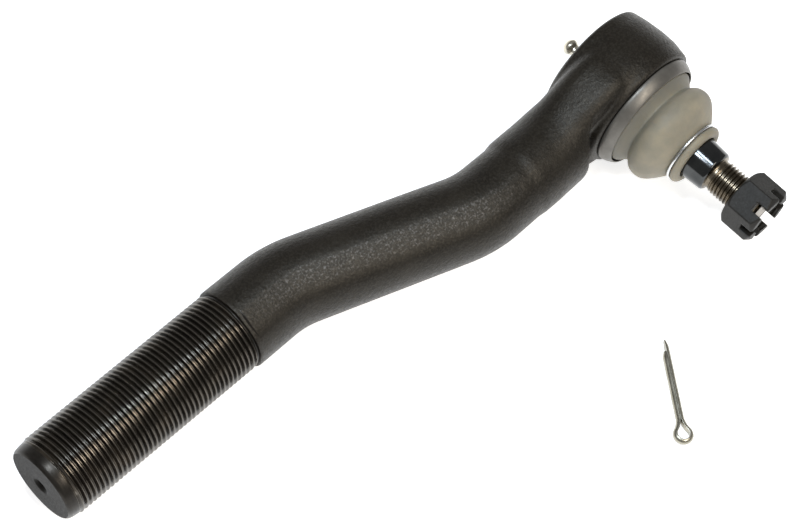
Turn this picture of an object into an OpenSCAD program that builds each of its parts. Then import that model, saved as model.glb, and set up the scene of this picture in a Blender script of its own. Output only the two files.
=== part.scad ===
// Tie rod end with a threaded rod, an S-bent shank, a greasable ball socket,
// a moulded dust boot, a tapered ball stud, a castle nut and a loose cotter pin.
// Origin: centre of the ball. +X: along the shank from the socket to the rod thread.
// +Y: along the stud towards its thread. +Z: up, square to both axes.

/* [Rod and shank] */
// Major diameter of the rod thread
rod_thread_d = 32; // [28:1:32]
// Pitch of the rod thread
rod_pitch = 2; // [1.5:0.5:2]
// Number of turns of the rod thread
rod_turns = 41; // [30:1:41]
// Distance from the rod's end face to the stud axis
rod_reach = 269; // [266:1:290]
// Diameter of the forged shank
shank_d = 32.6; // [32.2:0.2:33.4]
// Sideways step of the shank between rod axis and ball centre
rod_offset = 26; // [22:0.2:30]
// Angle of the slanted stretch of the shank, in degrees
bend_angle = 19.4; // [17:0.1:22]
// Distance from the stud axis to the bend nearer the rod thread
bend_reach = 154.2; // [150:0.2:158]
// Bend radius of the shank's centre line
bend_r = 46; // [30:1:50]

/* [Socket] */
// Largest outer diameter of the socket
socket_d = 54.4; // [53.6:0.2:55]
// Distance from the ball centre to the front rim
socket_front = 10.4; // [10:0.1:10.6]
// Distance from the ball centre to the back edge
socket_back = 17.5; // [17.4:0.1:18]

/* [Ball stud] */
// Diameter of the ball
ball_d = 28; // [27.5:0.1:28]
// Diameter of the taper's small end
taper_d = 16.8; // [16:0.1:17]
// Diameter lost per millimetre of taper
taper_rate = 0.125; // [0.1:0.005:0.13]
// Distance from the ball centre to the taper's small end
taper_end = 48; // [47:0.1:49]
// Major diameter of the stud thread
stud_thread_d = 14; // [13.5:0.1:14]
// Pitch of the stud thread
stud_pitch = 1.5; // [1.25:0.25:1.5]
// Number of turns of the stud thread
stud_turns = 13; // [12:1:14]
// Diameter of the cotter hole
cotter_hole_d = 3.5; // [3.2:0.1:3.6]

/* [Castle nut] */
// Width across the flats
nut_flats = 21; // [21:0.5:22]
// Height of the nut
nut_h = 14.2; // [13.6:0.2:16]
// Depth of the slots
slot_depth = 5; // [4:0.5:6]
// Width of the slots
slot_w = 3.7; // [3.5:0.1:4]
// Distance from the ball centre to the nut's near face
nut_place = 60.9; // [60.5:0.1:62]

/* [Cotter pin] */
// Diameter over both legs
pin_d = 3.2; // [2.8:0.1:3.2]
// Length from the end of the eye to the long leg's tip
pin_length = 42.5; // [38:0.5:46]

/* [Hidden] */
$fn = 96;

// Running gap between the ball and its seats, and between other close pieces
fit_gap = 0.05;
gap = 0.12;

rod_thread_r = rod_thread_d / 2 - 0.05;
rod_root_r = rod_thread_r - 0.6 * rod_pitch;
shank_r = shank_d / 2;
end_chamfer = 5.2;
end_face_r = 14.7;
centre_hole_r = 2.2;
thread_start = -rod_reach + end_chamfer;
thread_end = thread_start + rod_turns * rod_pitch;
shoulder_x = thread_end + 2.2;
tangent = bend_r * tan(bend_angle / 2);
slant_run = rod_offset / tan(bend_angle);
far_bend_reach = bend_reach - slant_run;
slant_length = rod_offset / sin(bend_angle) - 2 * tangent;
upper_shank_r = shank_r - 0.4;
shank_end = -31;
shoulder_r = 8;
shoulder_length = 12;
// The shank's root widens upwards and downwards to meet the socket
root_start = -46;
root_end = -12;
root_r = 26.9;
root_low = -15.4;
root_high = 8.4;
rim_x = -6;
// Lap between neighbouring stretches of the shank, and the step that keeps them apart
lap = 0.5;
step = 0.05;

socket_r = socket_d / 2;
cavity_r = 18;
cavity_front = 6.8;
cover_r = 20.6;
cover_seat = -13.6;
cover_outer = -16.7;
crimp_r = 19;
spigot_r = 20.2;
spigot_front = 14.2;
opening_r = 12.9;
opening_front_r = 15;

ball_r = ball_d / 2;
ball_flat = -10.6;
seat_ball_r = ball_r + fit_gap;
seat_r = cavity_r - fit_gap;
seat_split = -0.6;

taper_small_r = taper_d / 2;
taper_big_y = 29;
taper_big_r = taper_small_r + (taper_end - taper_big_y) * taper_rate / 2;
neck_r = 8.1;
stud_thread_r = stud_thread_d / 2 - 0.05;
stud_root_r = stud_thread_r - 0.6 * stud_pitch;
stud_thread_start = taper_end + 2.6;
stud_thread_end = stud_thread_start + stud_turns * stud_pitch;
stud_tip = stud_thread_end + 1.2;
cotter_hole_y = stud_tip - 5.2;

nut_bore_r = stud_thread_r + 0.13;
nut_turn = 30;

nipple_tip = -28.9;
nipple_ball_r = 1.3;
nipple_ball_y = nipple_tip + 1.55;
nipple_bore_r = 1.5;
table_z = -socket_r;
pin_x = 79.8;
pin_y = 111.2;
pin_heading = -127;

// Turns an outline of [radius, y] points about the stud axis.
module turned(outline) {
    rotate([-90, 0, 0]) rotate_extrude() polygon(outline);
}

// Turns an outline of [radius, x] points about the X axis.
module turned_on_x(outline) {
    rotate([0, 90, 0]) rotate_extrude() polygon(outline);
}

// Ring grooves of a thread, as [radius, place] points from start upwards.
function thread_outline(major, root, pitch, turns, start) = [
    for (i = [0 : turns - 1], k = [0 : 3])
        [k == 0 || k == 1 ? major : root,
            start + pitch * (i + [0.06, 0.24, 0.55, 0.75][k])]
];

// Points of an arc about [0, 0], as [radius, y], from one angle to another.
function arc_points(r, from, to, steps = 24) = [
    for (i = [0 : steps]) let (a = from + (to - from) * i / steps) [r * cos(a), r * sin(a)]
];

// A round bar along +X, lapping a little into its neighbours.
module bar(length, r = shank_r) {
    translate([-lap, 0, 0]) rotate([0, 90, 0]) cylinder(r = r, h = length + 2 * lap);
}

// A bend of the shank; turning left is side = 1, right is side = -1.
module elbow(side) {
    translate([0, side * bend_r, 0]) rotate([0, 0, side > 0 ? -90 : 90 - bend_angle])
        rotate_extrude(angle = bend_angle) translate([bend_r, 0]) circle(shank_r - step);
}

// Rounded end of the shank beside the socket's rim.
module shank_shoulder() {
    r = upper_shank_r - step;
    turned_on_x(concat([[0, -1], [r, -1]], [for (p = arc_points(shoulder_r, 90, 0, 12))
        [r - shoulder_r + p[1], shoulder_length - shoulder_r + p[0]]], [[0, shoulder_length]]));
}

// Root of the shank, wider above and below than across, and the rim round the socket it ends in.
module shank_root() {
    length = root_end - root_start;
    intersection() {
        translate([root_start, 0, 0]) rotate([0, 90, 0])
            cylinder(r1 = upper_shank_r - 1, r2 = root_r, h = length);
        translate([root_start, root_low, -root_r]) cube([length, root_high - root_low, 2 * root_r]);
    }
    translate([rim_x, root_low, 0]) rotate([-90, 0, 0])
        cylinder(r = root_r, h = root_high - root_low);
}

module shank() {
    lower_end = -bend_reach - tangent;
    upper_start = -far_bend_reach + tangent;
    upper_end = shank_end - shoulder_length;
    translate([shoulder_x, -rod_offset, 0]) bar(lower_end - shoulder_x);
    translate([lower_end, -rod_offset, 0]) elbow(1);
    translate([-bend_reach, -rod_offset, 0]) rotate([0, 0, bend_angle]) translate([tangent, 0, 0]) {
        bar(slant_length);
        translate([slant_length, 0, 0]) elbow(-1);
    }
    translate([upper_start, 0, 0]) bar(upper_end - upper_start, upper_shank_r);
    translate([upper_end, 0, 0]) shank_shoulder();
    shank_root();
}

module rod_thread() {
    translate([0, -rod_offset, 0]) turned_on_x(concat(
        [[0, -rod_reach], [end_face_r, -rod_reach], [rod_root_r, thread_start - 2.2]],
        [[rod_root_r, thread_start]],
        thread_outline(rod_thread_r, rod_root_r, rod_pitch, rod_turns, thread_start),
        [[rod_root_r, shoulder_x - 1.4], [shank_r + step, shoulder_x],
            [shank_r + step, shoulder_x + 3], [0, shoulder_x + 3]]));
}

module socket_shell() {
    turned([[0, -socket_back], [socket_r - 2.8, -socket_back], [socket_r - 1.6, 1.4 - socket_back],
        [socket_r - 0.3, -6], [socket_r, -1], [socket_r - 0.3, 4],
        [socket_r - 1.2, socket_front - 1.2], [socket_r - 2.2, socket_front - 0.2],
        [socket_r - 2.9, socket_front], [spigot_r, socket_front], [spigot_r, spigot_front],
        [0, spigot_front]]);
}

module socket_cavity() {
    turned([[0, -socket_back - 1], [crimp_r, -socket_back - 1], [crimp_r, cover_outer],
        [cover_r, cover_outer], [cover_r, cover_seat], [cavity_r, cover_seat],
        [cavity_r, cavity_front], [opening_r, cavity_front],
        [opening_front_r, spigot_front + 0.01], [0, spigot_front + 0.01]]);
}

// One forging: threaded rod, bent shank and socket.
// It is drawn with the rod along -X, then turned half round the stud axis.
module forged_body() {
    color("#2e2b27") rotate([0, 180, 0]) difference() {
        union() {
            rod_thread();
            shank();
            socket_shell();
        }
        socket_cavity();
        translate([-rod_reach - 1, -rod_offset, 0]) rotate([0, 90, 0])
            cylinder(r = centre_hole_r, h = 7);
    }
}

// Seat between the ball and the stud opening.
module front_bearing_seat() {
    top = cavity_front - fit_gap;
    low_angle = asin(fit_gap / seat_ball_r);
    color("#b9a27a") turned(concat(
        [[seat_r, fit_gap], [seat_r, top]],
        arc_points(seat_ball_r, asin(top / seat_ball_r), low_angle)));
}

// Seat behind the ball, open at its middle for the ball's flat and the grease.
module rear_bearing_seat() {
    low = -10.9;
    color("#b9a27a") turned(concat(
        [[seat_r, low], [seat_r, seat_split]],
        arc_points(seat_ball_r, asin(seat_split / seat_ball_r), asin(low / seat_ball_r))));
}

// Flat ring that spreads the spring's load over the rear seat.
module spring_cap() {
    color("#77777a") turned([[10, -12], [17.4, -12], [17.4, -10.95], [10, -10.95]]);
}

// Disc spring that keeps the seats against the ball.
module preload_spring() {
    color("#55585c") turned([[10.4, -12.85], [17, -13.55], [17, -12.75], [10.4, -12.05]]);
}

// Cover held in the back of the socket by its rolled edge.
module end_cover_plate() {
    color("#8a8578") difference() {
        turned([[0, -16.6], [9, -17.3], [18.9, -16.65], [cover_r - fit_gap, -16.65],
            [cover_r - fit_gap, cover_seat - 0.05], [19.6, cover_seat - 0.05],
            [19.6, cover_seat - 1.25], [18.1, cover_seat - 1.25],
            [18.1, cover_seat - 0.05], [0, cover_seat - 0.05]]);
        rotate([90, 0, 0]) cylinder(r = 4, h = 30);
    }
}

// Seal ring in the cover's groove.
module cover_seal_ring() {
    color("#1a1a1a") rotate([90, 0, 0]) translate([0, 0, -cover_seat + 0.65])
        rotate_extrude() translate([18.85, 0]) circle(r = 0.6);
}

// Grease nipple: shank in the cover, hexagon, neck and rounded head.
module grease_fitting_body() {
    color("#c9c6bd") difference() {
        union() {
            turned([[0, -18], [3.95, -18], [3.95, -13.8], [0, -13.8]]);
            rotate([90, 0, 0]) translate([0, 0, 17.4]) cylinder(d = 9 / cos(30), h = 3.6, $fn = 6);
            turned([[0, nipple_tip], [1.8, nipple_tip], [3.25, nipple_tip + 1.6],
                [3.25, nipple_tip + 2.4], [2.3, nipple_tip + 4.1], [2.3, -23.2],
                [3.4, -21], [3.4, -20], [0, -20]]);
        }
        turned([[0, nipple_tip - 1], [0.8, nipple_tip - 1], [0.8, nipple_tip + 0.45],
            [nipple_bore_r, nipple_tip + 1.15], [nipple_bore_r, -18.6], [0.9, -18.6],
            [0.9, -13], [0, -13]]);
    }
}

// Check ball of the nipple, closed against its seat.
module grease_fitting_ball() {
    color("#dcdcdc") translate([0, nipple_ball_y + 0.2, 0]) rotate([90, 0, 0]) sphere(r = nipple_ball_r);
}

// Spring under the check ball, as a stack of touching turns.
module grease_fitting_spring() {
    color("#9a9a9a") turned(concat(
        [for (i = [0 : 5]) each [[1.4, -25.6 + i * 1.1], [1.4, -25.1 + i * 1.1],
            [1.2, -24.85 + i * 1.1], [1.2, -24.75 + i * 1.1]]],
        [[1.4, -19], [1.4, -18.7], [0.8, -18.7], [0.8, -25.6]]));
}

// Pressed steel collar that clamps the boot's flange on the socket.
module boot_base_ring() {
    color("#8f8b84") turned([[22.8, 10.5], [24.1, 10.5], [24.1, 11.4], [23.4, 12.7],
        [22.5, 14], [21.5, 15], [21.1, 14.6], [22, 13.6], [22.8, 12.3]]);
}

// Moulded boot: flange, cone, groove, bulge and neck, with a hollow inside.
module dust_boot() {
    color("#96907f") turned([
        [spigot_r + 0.1, 10.6], [22.65, 10.6], [22.65, 12.2], [21.9, 13.4], [20.9, 14.5],
        [21, 15.3], [20.2, 16.3], [18.6, 18.4], [17.7, 19.5], [18.6, 20.7], [19.7, 22],
        [20.3, 23.4], [20.5, 25], [20.2, 26.8], [19.2, 28.9], [17, 31.3], [14.2, 33.6],
        [12.5, 35], [11.9, 35.6], [11.9, 36.2], [12.45, 36.8], [12.5, 37.6], [11.6, 39.4],
        [taper_big_r - 0.35, 39.6], [taper_big_r - 0.2, 36.5], [10.4, 34.6], [12.6, 32.2],
        [15.6, 29.8], [17.6, 27.6], [18.4, 25], [17.8, 22.6], [15.9, 20.4], [15.6, 19.2],
        [17.6, 16.8], [18.8, 15.2], [spigot_r + 0.1, 14.3]]);
}

// Wire ring in the boot's neck groove.
module boot_neck_ring() {
    color("#a9a69e") rotate([-90, 0, 0]) translate([0, 0, 35.9])
        rotate_extrude() translate([12.6, 0]) circle(r = 0.5);
}

// Ball, neck, taper, relief and thread in one piece, with the cotter hole.
module ball_stud() {
    flat_angle = asin(ball_flat / ball_r);
    neck_angle = acos(neck_r / ball_r);
    color("#3a3d40") difference() {
        turned(concat(
            [[0, ball_flat]],
            arc_points(ball_r, flat_angle, neck_angle),
            [[neck_r, 16], [8.7, 22], [9.4, 26], [taper_big_r, taper_big_y], [taper_small_r, taper_end],
                [taper_small_r - 0.6, taper_end + 0.6], [6.6, taper_end + 1.1],
                [stud_root_r + 0.3, stud_thread_start - 0.3]],
            thread_outline(stud_thread_r, stud_root_r, stud_pitch, stud_turns, stud_thread_start),
            [[stud_root_r, stud_thread_end], [stud_root_r - 0.9, stud_tip], [0, stud_tip]]));
        translate([0, cotter_hole_y, 0]) rotate([0, nut_turn, 0])
            cylinder(d = cotter_hole_d, h = 20, center = true);
    }
}

// Hexagon nut with six slots, free on the stud's thread by its bore clearance.
module castle_nut() {
    corner_r = nut_flats / 2 / cos(30);
    color("#45454a") translate([0, nut_place, 0]) rotate([0, nut_turn, 0]) rotate([-90, 0, 0])
        difference() {
            intersection() {
                cylinder(r = corner_r, h = nut_h, $fn = 6);
                rotate_extrude() polygon([[0, 0], [nut_flats / 2 - 0.2, 0], [corner_r + 0.1, 1.5],
                    [corner_r + 0.1, nut_h - 1.9], [nut_flats / 2 - 0.4, nut_h], [0, nut_h]]);
            }
            translate([0, 0, -1]) cylinder(r = nut_bore_r, h = nut_h + 2);
            translate([0, 0, -0.01]) cylinder(r1 = nut_bore_r + 0.9, r2 = nut_bore_r, h = 0.9);
            for (a = [30 : 60 : 150])
                rotate([0, 0, a]) translate([-20, -slot_w / 2, nut_h - slot_depth])
                    cube([40, slot_w, slot_depth + 1]);
        }
}

// One leg of the cotter pin: a half-round bar along +X.
module pin_leg(length, side) {
    rotate([90, 0, 90]) linear_extrude(length) intersection() {
        circle(d = pin_d);
        translate([side > 0 ? 0.04 : -pin_d, -pin_d]) square([pin_d - 0.04, 2 * pin_d]);
    }
}

// Split pin lying flat, with the end of its eye at the local origin.
module cotter_pin() {
    wire_r = 0.8;
    eye_r = 3;
    eye_centre = eye_r + wire_r;
    half_mouth = 30;
    neck = eye_centre + eye_r + 1.6;
    leg = pin_length - neck;
    color("#c8c4b8") translate([pin_x, pin_y, table_z + pin_d / 2 + 0.05])
        rotate([0, 0, pin_heading]) {
        translate([eye_centre, 0, 0]) rotate([0, 0, half_mouth])
            rotate_extrude(angle = 360 - 2 * half_mouth) translate([eye_r, 0]) circle(r = wire_r);
        for (side = [-1, 1]) {
            translate([eye_centre + eye_r * cos(half_mouth), side * eye_r * sin(half_mouth), 0])
                rotate([0, 90, -side * 32]) cylinder(r = wire_r - 0.02, h = 3);
            translate([neck - 0.6, 0, 0]) pin_leg(leg - (side > 0 ? 5 : 0), side);
        }
    }
}

forged_body();
front_bearing_seat();
rear_bearing_seat();
spring_cap();
preload_spring();
end_cover_plate();
cover_seal_ring();
grease_fitting_body();
grease_fitting_ball();
grease_fitting_spring();
boot_base_ring();
dust_boot();
boot_neck_ring();
ball_stud();
castle_nut();
cotter_pin();
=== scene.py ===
"""Looks of a tie rod end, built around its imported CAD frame.

Lengths below are millimetres and angles degrees; shapes turn into metres where a mesh is made.
X runs along the shank from the socket to the rod thread, Y along the stud towards its thread,
and Z is up. The forged body is drawn with its rod along -X, then turned half round the stud.
"""
import itertools
import math

import bmesh
import bpy
import numpy as np
from mathutils import Matrix, Vector


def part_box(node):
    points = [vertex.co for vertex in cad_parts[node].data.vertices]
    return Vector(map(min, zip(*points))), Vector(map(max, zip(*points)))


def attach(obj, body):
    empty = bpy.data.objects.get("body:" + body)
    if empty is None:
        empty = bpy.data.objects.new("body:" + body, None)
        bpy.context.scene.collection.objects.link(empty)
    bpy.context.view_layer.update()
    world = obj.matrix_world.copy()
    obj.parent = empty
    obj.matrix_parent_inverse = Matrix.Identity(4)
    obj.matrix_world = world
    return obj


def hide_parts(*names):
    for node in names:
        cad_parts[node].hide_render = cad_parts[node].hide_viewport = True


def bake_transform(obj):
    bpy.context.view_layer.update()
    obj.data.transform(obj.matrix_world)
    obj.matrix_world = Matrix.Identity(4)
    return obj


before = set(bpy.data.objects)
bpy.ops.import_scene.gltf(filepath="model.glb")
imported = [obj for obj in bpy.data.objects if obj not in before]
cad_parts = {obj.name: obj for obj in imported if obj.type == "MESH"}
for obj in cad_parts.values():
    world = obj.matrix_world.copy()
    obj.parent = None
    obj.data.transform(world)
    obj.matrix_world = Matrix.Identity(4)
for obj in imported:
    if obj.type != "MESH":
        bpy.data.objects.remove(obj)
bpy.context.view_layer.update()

MM = 0.001


def box_mm(node):
    """Lowest and highest corner of a CAD node, in millimetres."""
    low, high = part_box(node)
    return np.array(low) / MM, np.array(high) / MM


# ---------------------------------------------------------------- sizes

BODY_LOW, BODY_HIGH = box_mm("forged_body")
STUD_LOW, STUD_HIGH = box_mm("ball_stud")
NUT_LOW, NUT_HIGH = box_mm("castle_nut")
RING_LOW, RING_HIGH = box_mm("boot_neck_ring")

# Rod thread and shank. BEND_REACH runs from the stud's axis to the corner of the bend beside
# the rod. SHANK_RADII holds places along X and the radius at each; SHANK_R is that at the land.
ROD_END = -BODY_HIGH[0]
ROD_AXIS_Y = -26.0
ROD_CREST_R = 15.95
ROD_PITCH = 2.0
ROD_THREAD_DEPTH = 1.2
ROD_THREAD_START = ROD_END + 4.7
ROD_THREAD_END = ROD_THREAD_START + 41.3 * ROD_PITCH
ROD_RUNOUT = 0.6
SHOULDER_X = ROD_THREAD_END + 2.6
ROD_FACE_R = 14.1
CENTRE_HOLE_R = 3.4
BEND_ANGLE = math.radians(19.4)
BEND_REACH = 154.2
BEND_R = 46.0
SHANK_RADII = ([-176, -150, -100, -76, -60], [16.5, 16.35, 16.2, 16.0, 15.85])
SHANK_R = 16.1
SHANK_END = -32.6

# Land left on the shank where the flash was trimmed: its middle and half width in degrees
# round the shank from +Z, and the radius of its slight curve
LAND_MIDDLE = 24.0
LAND_HALF_WIDTH = 16.0
LAND_R = 60.0

# Root of the shank; ROOT_TOP holds places along X and the Y of its side towards the boot
ROOT_FAR_END = -58
ROOT_START = -48
ROOT_END = -12
ROOT_TOP = ([-50, -42, -34, -22, -12, -4], [14.6, 13.4, 11.8, 10.9, 10.6, 9.4])
ROOT_LOW = -15.4
ROOT_RIM_X = -6
ROOT_RIM_R = 28.4

# Socket
SOCKET_R = BODY_HIGH[2]
RIM_Y = 10.4
BACK_Y = -17.2
COVER_Y = -16.7
COVER_WELL_R = 20.6
COVER_WELL_Y = -13.6
CRIMP_R = 19.05
CAVITY_R = 18.0
CAVITY_FRONT = 6.8
OPENING_R = 12.9
OPENING_SLOPE = 0.284
SPIGOT_R = 20.2
SPIGOT_Y = 14.2

# Stud; TAPER_RISE is radius per length, for a taper of 1:8
BALL_R = 14.0
BALL_FLAT = STUD_LOW[1]
NECK_R = 8.1
TAPER_END = 48.0
TAPER_R = 8.4
TAPER_RISE = 0.0625
STUD_CREST_R = 6.95
STUD_RELIEF_R = 6.3
STUD_TIP_R = 5.9
STUD_THREAD_DEPTH = 0.9
STUD_PITCH = 1.5
STUD_THREAD_START = 50.2
STUD_TIP = STUD_HIGH[1]
COTTER_HOLE_Y = STUD_TIP - 5.2
COTTER_HOLE_R = 1.75

# Nut; NUT_TURN is the heading of its first flats and slots, in degrees from +Z
NUT_TURN = 30.0
NUT_FLATS = 21.0
NUT_H = NUT_HIGH[1] - NUT_LOW[1]
NUT_BORE_R = 7.08
SLOT_W = 3.7
SLOT_DEPTH = 5.0

# Boot: direction of its mould's parting line, in degrees round the stud from +Z
PARTING_AZIMUTH = 33.5

# Grease nipple
NIPPLE_TIP = box_mm("grease_fitting_body")[0][1]
HEXAGON_OUTER_Y = -21.0
HEXAGON_INNER_Y = -17.4
HEXAGON_FLAT_R = 4.5
NIPPLE_BORE_R = 0.85

# Cotter pin: its eye's outer end, the way its legs point in the XY plane, and its wire
PIN_LOW, PIN_HIGH = box_mm("cotter_pin")
PIN_EYE = (79.8, 111.2)
PIN_HEADING = -127.0
PIN_LENGTH = 42.5
PIN_R = 1.6

TABLE_Z = BODY_LOW[2] - 0.1

# Meshes: angle that shows as a crease, and lengths in metres under which points are joined
CREASE_ANGLE = math.radians(38)
WELD = 2e-6
SHORTEST_EDGE = 1e-6


# ---------------------------------------------------------------- materials

def new_material(name, **sockets):
    """A material with its Principled shader's sockets set; returns it and its node tree."""
    mat = bpy.data.materials.new(name)
    mat.use_nodes = True
    tree = mat.node_tree
    shader = tree.nodes["Principled BSDF"]
    for socket, value in sockets.items():
        shader.inputs[socket.replace("_", " ")].default_value = value
    return mat, tree


def coordinates(tree, stretch=(1, 1, 1)):
    """Object coordinates in metres, stretched along each axis."""
    place = tree.nodes.new("ShaderNodeTexCoord")
    scale = tree.nodes.new("ShaderNodeMapping")
    scale.inputs["Scale"].default_value = stretch
    tree.links.new(place.outputs["Object"], scale.inputs["Vector"])
    return scale.outputs["Vector"]


def noise(tree, size_mm, detail=4.0, roughness=0.6, stretch=(1, 1, 1)):
    """Noise whose largest grains are about size_mm across."""
    node = tree.nodes.new("ShaderNodeTexNoise")
    node.inputs["Scale"].default_value = 1 / (size_mm * MM)
    node.inputs["Detail"].default_value = detail
    node.inputs["Roughness"].default_value = roughness
    tree.links.new(coordinates(tree, stretch), node.inputs["Vector"])
    return node.outputs["Fac"]


def ramp(tree, factor, *stops):
    """Colours along a factor; each stop is (place, colour)."""
    node = tree.nodes.new("ShaderNodeValToRGB")
    elements = node.color_ramp.elements
    while len(elements) < len(stops):
        elements.new(0.5)
    for element, (place, colour) in zip(elements, stops):
        element.position = place
        element.color = (*colour[:3], 1)
    tree.links.new(factor, node.inputs["Fac"])
    return node.outputs["Color"]


def remap(tree, factor, low, high, start=0.3, end=0.7):
    """A factor's range from start to end, stretched to low to high and held there outside it."""
    node = tree.nodes.new("ShaderNodeMapRange")
    for socket, value in (("From Min", start), ("From Max", end),
                          ("To Min", low), ("To Max", high)):
        node.inputs[socket].default_value = value
    tree.links.new(factor, node.inputs["Value"])
    return node.outputs["Result"]


def mix(tree, factor, a, b):
    """Colour a turning into colour b with a factor; 6 and 7 are the node's colour sockets."""
    node = tree.nodes.new("ShaderNodeMix")
    node.data_type = "RGBA"
    for value, socket in ((factor, node.inputs[0]), (a, node.inputs[6]), (b, node.inputs[7])):
        if isinstance(value, bpy.types.NodeSocket):
            tree.links.new(value, socket)
        else:
            socket.default_value = value
    return node.outputs[2]


def crests(tree, start, end):
    """0 on flat ground, rising to 1 on the crests of a dense, even mesh, by its pointiness."""
    node = tree.nodes.new("ShaderNodeNewGeometry")
    return remap(tree, node.outputs["Pointiness"], 0, 1, start, end)


def edges(tree, width_mm=0.5):
    """0 on flat ground, rising to 1 within about width_mm of an edge.

    It compares a rounded normal with the real one, by the cosine between them."""
    bevel = tree.nodes.new("ShaderNodeBevel")
    bevel.samples = 4
    bevel.inputs["Radius"].default_value = width_mm * MM
    geometry = tree.nodes.new("ShaderNodeNewGeometry")
    turn = tree.nodes.new("ShaderNodeVectorMath")
    turn.operation = "DOT_PRODUCT"
    tree.links.new(bevel.outputs["Normal"], turn.inputs[0])
    tree.links.new(geometry.outputs["Normal"], turn.inputs[1])
    return remap(tree, turn.outputs["Value"], 1, 0, start=0.78, end=0.985)


def to_shader(tree, socket, value):
    """Drives one socket of the Principled shader."""
    tree.links.new(value, tree.nodes["Principled BSDF"].inputs[socket])


def bump(tree, height, depth_mm, strength=1.0):
    """Adds a bump, on top of any the shader has already."""
    node = tree.nodes.new("ShaderNodeBump")
    node.inputs["Distance"].default_value = depth_mm * MM
    node.inputs["Strength"].default_value = strength
    normal = tree.nodes["Principled BSDF"].inputs["Normal"]
    if normal.links:
        tree.links.new(normal.links[0].from_socket, node.inputs["Normal"])
    tree.links.new(height, node.inputs["Height"])
    tree.links.new(node.outputs["Normal"], normal)


def forging_material():
    """Oiled black forging scale; flakes glint in it, most of all on the trimmed land. The land and
    its flakes are painted lighter there, partly the land's own finish and partly a painted
    highlight.
    """
    mat, tree = new_material("forging_scale", Specular_IOR_Level=0.28,
                             Specular_Tint=(1.0, 0.95, 0.86, 1))
    trimmed = tree.nodes.new("ShaderNodeAttribute")
    trimmed.attribute_name = "trimmed"
    land = trimmed.outputs["Fac"]
    patches = noise(tree, 14, 5, 0.62)
    grain = noise(tree, 1.3, 3, 0.75)
    flakes = noise(tree, 0.8, 1, 0.5)
    pits = noise(tree, 3.4, 4, 0.65)
    base = ramp(tree, patches, (0.3, (0.0052, 0.0041, 0.0028)), (0.52, (0.0085, 0.0069, 0.0049)),
                (0.72, (0.014, 0.0118, 0.0086)))
    # Lighter tone of the trimmed land: partly its own finish, partly a painted highlight of the
    # lit band.
    land_tone_and_painted_highlight = ramp(tree, flakes, (0.36, (0.013, 0.012, 0.0105)), (0.5, (0.021, 0.0197, 0.0175)),
                    (0.66, (0.042, 0.0405, 0.039)))
    mottled = mix(tree, remap(tree, flakes, 0, 0.75, 0.44, 0.64), base, (0.02, 0.0168, 0.0125, 1))
    scale_with_painted_land_highlight = mix(tree, land, mottled, land_tone_and_painted_highlight)
    rubbed = mix(tree, crests(tree, 0.53, 0.6), scale_with_painted_land_highlight, (0.035, 0.031, 0.026, 1))
    # Flakes painted brighter on the trimmed land: a painted highlight.
    flakes_with_painted_land_highlight = mix(tree, land, (0.034, 0.031, 0.027, 1), (0.085, 0.083, 0.081, 1))
    to_shader(tree, "Base Color", mix(tree, remap(tree, flakes, 0, 1, 0.6, 0.72), rubbed, flakes_with_painted_land_highlight))
    to_shader(tree, "Metallic", remap(tree, flakes, 0, 0.7, 0.6, 0.72))
    to_shader(tree, "Roughness", remap(tree, grain, 0.5, 0.3, 0.35, 0.7))
    bump(tree, pits, 0.2, 0.8)
    bump(tree, grain, 0.22, 1.0)
    return mat


def thread_material():
    """Black oiled steel, cut to a shiny black by the thread tool; its crests are painted lighter,
    a painted highlight.
    """
    mat, tree = new_material("cut_thread", Metallic=0.75, Specular_IOR_Level=0.5)
    film = noise(tree, 9, 4, 0.6)
    streaks = noise(tree, 1.6, 4, 0.6, stretch=(2.2, 0.35, 0.35))
    base = ramp(tree, film, (0.3, (0.019, 0.016, 0.0125)), (0.55, (0.034, 0.0285, 0.0215)),
                (0.75, (0.07, 0.056, 0.04)))
    # Crests painted lighter than the flanks: a painted highlight.
    crest = mix(tree, crests(tree, 0.51, 0.56), base, (0.11, 0.098, 0.082, 1))
    to_shader(tree, "Base Color", crest)
    to_shader(tree, "Roughness", remap(tree, streaks, 0.16, 0.3))
    bump(tree, streaks, 0.03, 0.5)
    return mat


def end_face_material():
    """Faced-off end of the rod: dull dark grey with faint turning marks."""
    mat, tree = new_material("faced_end", Metallic=0.1, Specular_IOR_Level=0.1)
    cloud = noise(tree, 5, 5, 0.65)
    grain = noise(tree, 0.8, 3, 0.6)
    to_shader(tree, "Base Color", ramp(tree, cloud, (0.3, (0.006, 0.005, 0.004)),
                                       (0.7, (0.0125, 0.0108, 0.0087))))
    to_shader(tree, "Roughness", remap(tree, grain, 0.45, 0.62))
    bump(tree, turning_marks(tree, 0.55), 0.02, 0.6)
    bump(tree, grain, 0.04, 0.6)
    return mat


def turning_marks(tree, spacing_mm):
    """Fine rings round the rod's axis."""
    ring_repeat = 0.314
    place = tree.nodes.new("ShaderNodeTexCoord")
    shift = tree.nodes.new("ShaderNodeMapping")
    shift.inputs["Location"].default_value = (0, -ROD_AXIS_Y * MM, 0)
    shift.inputs["Scale"].default_value = (0, 1, 1)
    wave = tree.nodes.new("ShaderNodeTexWave")
    wave.wave_type = "RINGS"
    wave.rings_direction = "SPHERICAL"
    wave.inputs["Scale"].default_value = ring_repeat / (spacing_mm * MM)
    wave.inputs["Distortion"].default_value = 0.6
    wave.inputs["Detail"].default_value = 2
    tree.links.new(place.outputs["Object"], shift.inputs["Vector"])
    tree.links.new(shift.outputs["Vector"], wave.inputs["Vector"])
    return wave.outputs["Fac"]


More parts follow.
